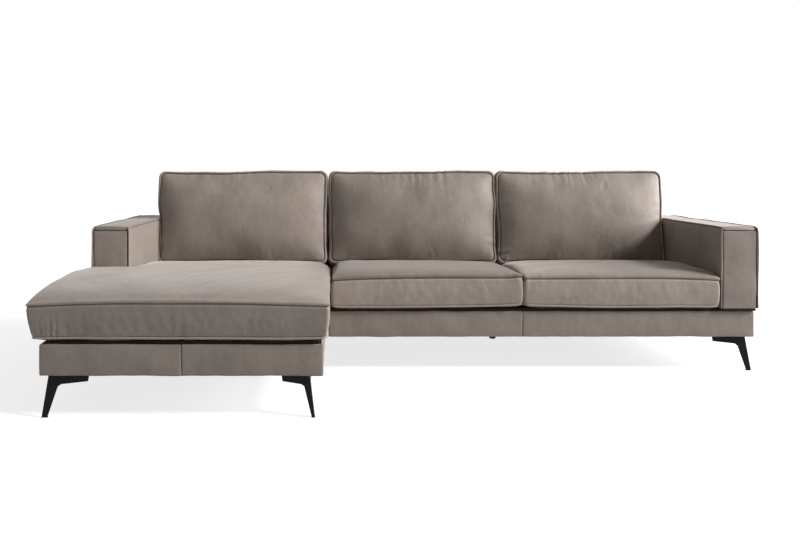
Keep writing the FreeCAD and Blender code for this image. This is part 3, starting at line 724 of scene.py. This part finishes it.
def soft_box(name, low, high, edge=pad_edge, swell=pad_swell, slant=None, seed=0, face=None):
    """A padded panel: a box with round edges whose faces swell a little. With face, an axis, the
    narrow sides round that face take the darker copy of the fabric, painted shade of a seam."""
    low, high = np.array(low), np.array(high)
    axes = [lines(low[k], high[k], pad_step) for k in range(3)]
    used, faces = {}, []

    def vertex(index):
        return used.setdefault(index, len(used))

    for axis in range(3):
        a, b = (axis + 1) % 3, (axis + 2) % 3
        for end in (0, len(axes[axis]) - 1):
            for i in range(len(axes[a]) - 1):
                for j in range(len(axes[b]) - 1):
                    ring = []
                    for di, dj in ((0, 0), (1, 0), (1, 1), (0, 1)):
                        index = [0, 0, 0]
                        index[axis], index[a], index[b] = end, i + di, j + dj
                        ring.append(vertex(tuple(index)))
                    faces.append(tuple(ring if end else reversed(ring)))
    points = np.array([[axes[k][index[k]] for k in range(3)] for index in used])
    centre, half = (low + high) / 2, (high - low) / 2
    share = (points - centre) / half
    core = np.clip(points, low + edge, high - edge)
    out = points - core
    out /= np.maximum(np.linalg.norm(out, axis=1), tiny)[:, None]
    points = core + edge * out
    for axis in range(3):
        a, b = (axis + 1) % 3, (axis + 2) % 3
        if min(half[a], half[b]) < pad_narrow:
            continue
        outer = np.abs(share[:, axis]) > 1 - nearly
        dome = (1 - share[:, a] ** 4) * (1 - share[:, b] ** 2)
        if half[a] < half[b]:
            dome = (1 - share[:, a] ** 2) * (1 - share[:, b] ** 4)
        height = swell * dome - min(swell, pad_recess)
        points[:, axis] += np.where(outer, np.sign(share[:, axis]) * height, 0)
    if slant is not None:
        points = slant(points)
    piece = new_piece(name, points, faces)
    # The narrow sides round the face take the darker copy of the fabric: painted shade.
    if face is not None:
        for polygon in piece.data.polygons:
            level = share[list(polygon.vertices), face]
            polygon.material_index = int(level.max() - level.min() > nearly)
    subdivide(piece)
    undulate(piece, *pad_sway, seed)
    return piece


def pad_for(node, low, high, seed):
    """A padded panel in place of a CAD cover of the frame."""
    piece = soft_box(node + "_pad", low, high, seed=seed)
    clothe(piece, "sofa_frame", cover_fill, [node])


def arm(side, seed):
    """The arm is a sewn box on its side: a strip over the front, top and rear between two side panels,
    whose edges stand up as lips, and a front panel set in between the lips."""
    low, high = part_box(side + "_arm_cover")
    panel_low, panel_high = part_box(side + "_arm_front_panel")
    radii = [arm_foot_corner, arm_foot_corner, arm_front_corner, arm_front_corner]
    outline = Outline(low.y, high.y, low.z, high.z, radii, 0)
    seams = (low.x + 2 * arm_lip, high.x - 2 * arm_lip)

    def to_row(points):
        y, z, x = points.T
        return np.column_stack([x, y, z])

    def in_line(depth):
        return (depth > arm_stitch[0]) & (depth < arm_stitch[1])

    def under_lip(grid, depth):
        """The stitches, painted in shade, are under the lip along the arm's top, and turn down round
        its front corner.
        """
        return (grid[:, 1] > high.z - 2 * arm_front_corner) & in_line(depth)

    def edge(depth):
        inset, stand = lipped(arm_lip, arm_side_recess)(depth)
        return inset, stand - arm_stitch_depth * in_line(depth)

    climb = every_side(arm_climb)
    piece, _, _ = boxed(side + "_arm_padding", outline, seams, (arm_side_swell, arm_side_swell),
                        (climb, climb), (0, 0), arm_strip_swell, to_row, (edge, edge),
                        arm_strip_recess, stitched=under_lip)
    points = points_of(piece)
    top_seam = high.z - arm_top_seam
    on_front = points[:, 1] < low.y + arm_front_reach
    on_front &= (points[:, 0] > seams[0] + nearly) & (points[:, 0] < seams[1] - nearly)
    on_seam = on_front & (np.abs(points[:, 2] - top_seam) < arm_top_seam_half)
    behind_pad = on_front & (points[:, 2] < top_seam - arm_top_seam_half)
    points[:, 1] += arm_top_seam_depth * on_seam + arm_front_recess * behind_pad
    radius = arm_top_round * np.exp((low.y - points[:, 1]) / arm_round_fade)
    for edge_x, way in ((low.x, 1), (high.x, -1)):
        u, v = round_corner(way * (points[:, 0] - edge_x), high.z - points[:, 2], radius)
        points[:, 0] = edge_x + way * u
        points[:, 2] = high.z - v
    move_points(piece, points)
    # On the right arm, the seam over the front panel takes the darker copy of the fabric: painted
    # shade.
    if side == "right":
        for polygon in piece.data.polygons:
            if on_seam[list(polygon.vertices)].any():
                polygon.material_index = 1
    subdivide(piece)
    undulate(piece, *arm_sway, seed)
    # The left arm's strip takes a darker copy of the fabric, painted shade, and its front pad a lighter
    # one, painted light.
    strip_painted_shade, front_painted_light = (painted_shade_fabric, painted_light_fabric) if side == "left" else (None, None)
    clothe(piece, "sofa_frame", arm_fill, [side + "_arm_cover"], band=strip_painted_shade)
    front = soft_box(side + "_arm_front_pad",
                     (panel_low.x - arm_pad_spare, low.y + arm_pad_set, panel_low.z),
                     (panel_high.x + arm_pad_spare, panel_high.y, top_seam - arm_pad_spare),
                     edge=0.005, swell=0.003, seed=seed + 1, face=1)
    clothe(front, "sofa_frame", panel_fill, [side + "_arm_front_panel"], front_painted_light)
    _, rail_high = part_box("sofa_front_rail")
    # A dark dust cover under the arm, which also serves as painted shade in the gap over the base.
    under = soft_box(side + "_arm_under_pad",
                     (low.x + under_pad_side, low.y + under_pad_front, rail_high.z + under_pad_front),
                     (high.x - under_pad_side, high.y - under_pad_side, low.z + under_pad_top),
                     edge=0.002, swell=0, seed=seed + 2)
    dress(under, "sofa_frame", [dust_cloth])


def back_rest(module, side, seed):
    """The padded back rest leans at the front and is upright at the rear. Its side, -1 for left or 1
    for right, meets the other module's."""
    node = module + "_back_front_cover"
    low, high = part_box(node)
    if side < 0:
        low.x -= module_meeting
    else:
        high.x += module_meeting

    def slant(points):
        x, y, z = points.T
        front = low.y + (z - low.z) * math.tan(back_lean)
        share = (high.y - y) / (high.y - low.y)
        return np.column_stack([x, high.y - share * (high.y - front), z])

    piece = soft_box(node + "_pad", low, high, edge=0.016, swell=0.003, slant=slant, seed=seed)
    clothe(piece, "sofa_frame", panel_fill, [node])
    rear = module + "_back_rear_cover"
    rear_low, rear_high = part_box(rear)
    low.y, low.z = rear_low.y, rear_low.z
    high.y, high.z = rear_high.y, rear_high.z
    pad_for(rear, low, high, seed + 1)


def deck_felt_pad(name, low, high, nodes, seed):
    """A felt pad that lies on the springs, under the seat cushions."""
    piece = soft_box(name, low, high, edge=0.004, swell=0, seed=seed)
    dress(piece, "sofa_frame", [deck_felt], nodes)


def dust_sheet(module, seed):
    """The cloth stapled under a base, a little slack between the rails."""
    node = module + "_dust_cover"
    low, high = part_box(node)
    width, length = high.x - low.x, high.y - low.y

    def hang(points):
        x = 2 * (points[:, 0] - low.x) / width - 1
        y = 2 * (points[:, 1] - low.y) / length - 1
        slack = dust_slack * np.clip(1 - x ** 4, 0, 1) * np.clip(1 - y ** 4, 0, 1)
        slack *= 1 + dust_ripple * waves(points, dust_ripple_length, seed)
        return points - np.column_stack([0 * x, 0 * x, slack])

    piece = soft_box(node + "_cloth", low, high, edge=0.0004, swell=0, slant=hang, seed=seed)
    dress(piece, "sofa_frame", [dust_cloth], [node])


def bevelled(node):
    """Welds and rounds the sheared edges of a steel part."""
    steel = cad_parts[node]
    weld = steel.modifiers.new("weld", "WELD")
    weld.merge_threshold = 0.00001
    bevel = steel.modifiers.new("edges", "BEVEL")
    bevel.width = leg_bevel
    bevel.segments = 2
    bevel.limit_method = "ANGLE"
    bevel.harden_normals = True


def principled(name):
    material = bpy.data.materials.new(name)
    material.use_nodes = True
    tree = material.node_tree
    return material, tree, tree.nodes["Principled BSDF"]


def feed(tree, node, inputs):
    """Gives each of the inputs its value, or a link from another node's output."""
    for name, given in inputs.items():
        if isinstance(given, bpy.types.NodeSocket):
            tree.links.new(given, node.inputs[name])
        else:
            node.inputs[name].default_value = given


def add_node(tree, kind, inputs):
    node = tree.nodes.new("ShaderNode" + kind)
    feed(tree, node, inputs)
    return node


def noise(tree, scale, detail=4.0, roughness=0.55, stretch=(1, 1, 1), distortion=0.0):
    """Noise over the object's own coordinates. scale is in features per metre."""
    place = add_node(tree, "TexCoord", {})
    mapping = add_node(tree, "Mapping", {"Vector": place.outputs["Object"], "Scale": stretch})
    inputs = {"Vector": mapping.outputs["Vector"], "Scale": scale, "Detail": detail,
              "Roughness": roughness, "Distortion": distortion}
    return add_node(tree, "TexNoise", inputs).outputs["Fac"]


def ramp(tree, value, stops):
    node = add_node(tree, "ValToRGB", {"Fac": value})
    elements = node.color_ramp.elements
    while len(elements) < len(stops):
        elements.new(0.5)
    for element, (position, colour) in zip(elements, stops):
        element.position = position
        element.color = (*colour, 1)
    return node.outputs["Color"]


def mix(tree, factor, a, b):
    """Blends two values by a constant factor."""
    return add_node(tree, "Mix", {"Factor": factor, "A": a, "B": b}).outputs["Result"]


def bump(tree, height, depth, before=None):
    inputs = {"Strength": 1, "Distance": depth, "Height": height}
    if before is not None:
        inputs["Normal"] = before
    return add_node(tree, "Bump", inputs).outputs["Normal"]


def grey(value):
    return (value, value, value)


def napped_fabric(name, tone, sheen=0.5):
    """Brushed fabric with a short nap: cloudy where it was stroked, a soft sheen, a fine grain. tone
    scales its colour: the lighter copies are painted light, and the darker ones painted shade."""
    material, tree, shader = principled(name)
    clouds = noise(tree, scale=4.5, detail=3, roughness=0.5, distortion=0.8)
    strokes = noise(tree, scale=26, detail=5, roughness=0.65, stretch=(1, 1, 0.4), distortion=0.5)
    cover = mix(tree, factor=0.6, a=clouds, b=strokes)
    stops = [(position, tuple(tone * level * part for part in nap_colour))
             for position, level in nap_levels]
    rough = ramp(tree, strokes, [(0.3, grey(0.42)), (0.7, grey(0.56))])
    dents = bump(tree, noise(tree, scale=45, detail=3), depth=0.001)
    grain = bump(tree, noise(tree, scale=700, detail=2), depth=0.00025, before=dents)
    feed(tree, shader, {"Base Color": ramp(tree, cover, stops), "Roughness": rough, "Normal": grain,
                        "Specular IOR Level": 0.35, "Sheen Weight": sheen, "Sheen Roughness": 0.4,
                        "Sheen Tint": (0.95, 0.9, 0.86, 1)})
    return material


def plain_material(name, dark, light, scale, rough, grain, depth, metallic=0.0, stretch=(1, 1, 1),
                   gloss=0.5):
    """Two mottled tones, a roughness that varies between two levels, and a fine grain."""
    material, tree, shader = principled(name)
    colour = ramp(tree, noise(tree, scale, stretch=stretch), [(0.3, dark), (0.7, light)])
    smooth, coarse = rough
    level = ramp(tree, noise(tree, scale * 2), [(0.3, grey(smooth)), (0.7, grey(coarse))])
    surface = bump(tree, noise(tree, grain, detail=3), depth)
    feed(tree, shader, {"Base Color": colour, "Roughness": level, "Normal": surface,
                        "Metallic": metallic, "Specular IOR Level": gloss})
    return material


fabric = napped_fabric("napped_fabric", 1.0)
# A lighter copy of the fabric for the piping: a painted highlight.
piping_painted_highlight = napped_fabric("napped_fabric_on_piping", 1.3)
# A darker copy for the grooves, seams and stitch lines: painted shade.
groove_painted_shade = napped_fabric("napped_fabric_painted_groove_shade", 0.4)
# A lighter copy for the seat bands and the left arm's front: painted light.
painted_light_fabric = napped_fabric("napped_fabric_painted_light", 1.3)
# A lighter copy for the chaise's back cushion: painted light.
back_painted_light_fabric = napped_fabric("napped_fabric_back_painted_light", 1.14)
# A darker copy for the left seat's panels and the left arm's strip: painted shade.
painted_shade_fabric = napped_fabric("napped_fabric_painted_shade", 0.8, 0.25)
leg_coat = plain_material("leg_powder_coat", grey(0.0055), grey(0.009), scale=30, rough=(0.3, 0.38),
                          grain=900, depth=0.00006, gloss=0.12)
wood = plain_material("frame_wood", (0.42, 0.27, 0.14), (0.58, 0.4, 0.23), scale=14, rough=(0.6, 0.75),
                      grain=260, depth=0.0003, stretch=(1, 1, 7))
spring_steel = plain_material("spring_steel", grey(0.12), grey(0.2), scale=60, rough=(0.3, 0.45),
                              grain=800, depth=0.00005, metallic=1.0)
zinc = plain_material("zinc_steel", grey(0.42), grey(0.6), scale=90, rough=(0.25, 0.4),
                      grain=900, depth=0.00004, metallic=1.0)
black_plastic = plain_material("black_plastic", grey(0.018), grey(0.03), scale=40, rough=(0.45, 0.6),
                               grain=1200, depth=0.00008)
dust_cloth = plain_material("dust_cloth", grey(0.028), grey(0.048), scale=500, rough=(0.85, 0.95),
                            grain=1500, depth=0.0003, gloss=0.1)
deck_felt = plain_material("deck_felt", (0.036, 0.029, 0.025), (0.072, 0.06, 0.052), scale=220,
                           rough=(0.9, 1.0), grain=900, depth=0.0008, gloss=0.1)
webbing = plain_material("webbing", grey(0.02), grey(0.05), scale=400, rough=(0.8, 0.9),
                         grain=1400, depth=0.0004)

slot_materials = {"frame_wood": wood, "spring_steel": spring_steel, "zinc_steel": zinc,
                  "leg_metal": leg_coat, "support_plastic": black_plastic,
                  "glide_plastic": black_plastic, "dust_cloth": dust_cloth, "deck_felt": deck_felt,
                  "webbing": webbing, "upholstery": fabric, "seat_foam": deck_felt}

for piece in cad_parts.values():
    slot_name = piece.data.materials[0].name
    piece.data.materials.clear()
    piece.data.materials.append(slot_materials[slot_name])

arm_low, arm_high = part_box("left_arm_cover")
notch = (arm_high.x + arm_clearance, arm_low.y - arm_clearance)
seat_cushion("chaise_seat_cushion", "chaise_seat", chaise_crown, chaise_front_climb,
             (pressed_climb, chaise_side_climb), chaise_draws, chaise_rear_climb, seed=1, notch=notch,
             folds=[(0, 0.003, 0.045, 0.018, (-1.34, -0.81, 0.31), 0.05)], settles=(0, 0.032))
# The left seat's panels take a darker copy of the fabric, painted shade, and its band a lighter one,
# painted light.
seat_cushion("left_seat_cushion", "left_seat", seat_crown, seat_front_climb,
             (seat_side_climb, seat_side_climb), seat_draws, seat_rear_climb, seed=2,
             folds=[(1, 0.003, 0.03, 0.03, (0.4, -0.1, 0.4), 0.06)],
             lifts=(0, 0.018), settles=(0.032, 0.014), painted_tones=(painted_shade_fabric, painted_light_fabric))
# The right seat's band takes a lighter copy of the fabric: painted light.
seat_cushion("right_seat_cushion", "right_seat", seat_crown, seat_front_climb,
             (seat_side_climb, pressed_climb), seat_draws, seat_rear_climb, seed=3,
             folds=[(1, 0.003, 0.03, 0.03, (0.47, -0.1, 0.4), 0.06)],
             lifts=(0.009, 0), settles=(0.014, 0), painted_tones=(None, painted_light_fabric))
# The chaise's back cushion takes a lighter copy of the fabric all over: painted light.
back_cushion("chaise_back_cushion", "chaise_back", reach=(0.014, 0.0045), seed=4,
             folds=[(1, 0.003, 0.05, 0.04, (-1.22, 0.5, 0.56), 0.09),
                    (1, 0.0016, 0.05, 0.03, (-1.05, 0.5, 0.84), 0.1)], nap=back_painted_light_fabric)
back_cushion("left_back_cushion", "left_back", reach=(0.0045, 0.0025), seed=5,
             folds=[(1, 0.0028, 0.06, 0.025, (0.02, 0.52, 0.83), 0.16),
                    (1, 0.0026, 0.05, 0.04, (0.41, 0.5, 0.5), 0.08)])
last_back = back_cushion("right_back_cushion", "right_back", reach=(0.0025, 0.0025), seed=6,
                         folds=[(1, 0.002, 0.05, 0.03, (0.75, 0.52, 0.84), 0.14),
                                (1, 0.003, 0.04, 0.03, (0.46, 0.5, 0.45), 0.07)])
dent(last_back, spot=(0.945, 0.445, 0.694), radius=0.014, depth=0.006)
arm("left", seed=7)
arm("right", seed=8)
back_rest("chaise", side=1, seed=9)
back_rest("sofa", side=-1, seed=10)
base_covers = ("chaise_front_cover_left", "chaise_front_cover_right", "sofa_front_cover_left",
               "sofa_front_cover_right", "chaise_left_cover", "chaise_right_cover",
               "sofa_right_cover", "chaise_rear_cover", "sofa_rear_cover")
for seed, cover in enumerate(base_covers, start=20):
    pad_for(cover, *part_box(cover), seed)
deck_low, deck_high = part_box("chaise_deck_pad")
inner, step = arm_high.x - deck_notch[0], arm_low.y + deck_notch[1]
deck_felt_pad("chaise_deck_felt_front", deck_low, (deck_high.x, step, deck_high.z),
              ["chaise_deck_pad"], seed=31)
deck_felt_pad("chaise_deck_felt_rear", (inner, step, deck_low.z), deck_high, [], seed=32)
deck_felt_pad("sofa_deck_felt", *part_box("sofa_deck_pad"), ["sofa_deck_pad"], seed=33)
dust_sheet("chaise", seed=34)
dust_sheet("sofa", seed=35)
for name in ("chaise_front_left_leg", "chaise_front_right_leg", "chaise_rear_left_leg",
             "sofa_front_right_leg", "sofa_rear_right_leg"):
    bevelled(name)


def area_light(name, place, size, power):
    light = bpy.data.lights.new(name, "AREA")
    light.shape = "RECTANGLE"
    light.size = light.size_y = size
    light.energy = power
    light.color = lamp_colour
    lamp = new_object(name, light)
    lamp.location = place
    toward = np.array(lamp_target) - np.array(place)
    lamp.rotation_mode = "QUATERNION"
    lamp.rotation_quaternion = Vector(toward).to_track_quat("-Z", "Y")


def worked_out(tree, operation, a, b):
    node = add_node(tree, "Math", {0: a, 1: b})
    node.operation = operation
    return node.outputs[0]


def shown_directly(tree):
    """1 for what the camera sees, straight or in a mirror or glass."""
    rays = add_node(tree, "LightPath", {})
    total = rays.outputs["Is Camera Ray"]
    for other in ("Is Glossy Ray", "Is Transmission Ray"):
        total = worked_out(tree, "MAXIMUM", total, rays.outputs[other])
    return total


def studio_floor():
    """Pale where light falls on it, with the sofa's shadow, and plain white to the camera far away."""
    material, tree, shader = principled("studio_floor")
    place = add_node(tree, "TexCoord", {})
    distance = add_node(tree, "VectorMath", {0: place.outputs["Object"]})
    distance.operation = "LENGTH"
    fade = {"Value": distance.outputs["Value"], "From Min": 1.6, "From Max": 4.5, "To Min": 0.78,
            "To Max": 1.0}
    glow = add_node(tree, "MapRange", fade)
    seen = worked_out(tree, "MULTIPLY", shown_directly(tree), glow.outputs["Result"])
    feed(tree, shader, {"Base Color": (0.5, 0.5, 0.5, 1), "Roughness": 0.9, "Specular IOR Level": 0.1,
                        "Emission Color": white, "Emission Strength": seen})
    return material


def studio():
    """White floor and world, a large soft light from the right, a smaller one beside it and a weak
    one in front."""
    floor_mesh = bpy.data.meshes.new("floor")
    corners = [(x * floor_reach, y * floor_reach, 0) for x, y in ((-1, -1), (1, -1), (1, 1), (-1, 1))]
    floor_mesh.from_pydata(corners, [], [(0, 1, 2, 3)])
    floor_mesh.materials.append(studio_floor())
    new_object("floor", floor_mesh)
    world = bpy.data.worlds.new("studio_world")
    scene.world = world
    world.use_nodes = True
    tree = world.node_tree
    lit = tree.nodes["Background"]
    feed(tree, lit, {"Color": white, "Strength": 0.09})
    seen = add_node(tree, "Background", {"Color": white, "Strength": 1})
    inputs = {0: shown_directly(tree), 1: lit.outputs[0], 2: seen.outputs[0]}
    either = add_node(tree, "MixShader", inputs)
    feed(tree, tree.nodes["World Output"], {"Surface": either.outputs[0]})
    area_light("key", (12.75, -4.35, 8.8), size=3.4, power=2610)
    area_light("fill", (-2, -6, 2.2), size=1.5, power=14)
    area_light("side", (6, 0, 2), size=1.6, power=290)


def camera():
    """Level, at the height and distance that the photograph's vanishing point and scale give."""
    data = bpy.data.cameras.new("camera")
    data.lens = 39.0
    data.sensor_width = 36.0
    data.shift_x = 0.0825
    data.shift_y = -0.1206
    seen = new_object("camera", data)
    seen.location = (-0.3685, -3.774, 0.85)
    seen.rotation_euler = (math.pi / 2, 0, 0)
    scene.camera = seen


studio()
camera()
scene.view_settings.view_transform = "Standard"
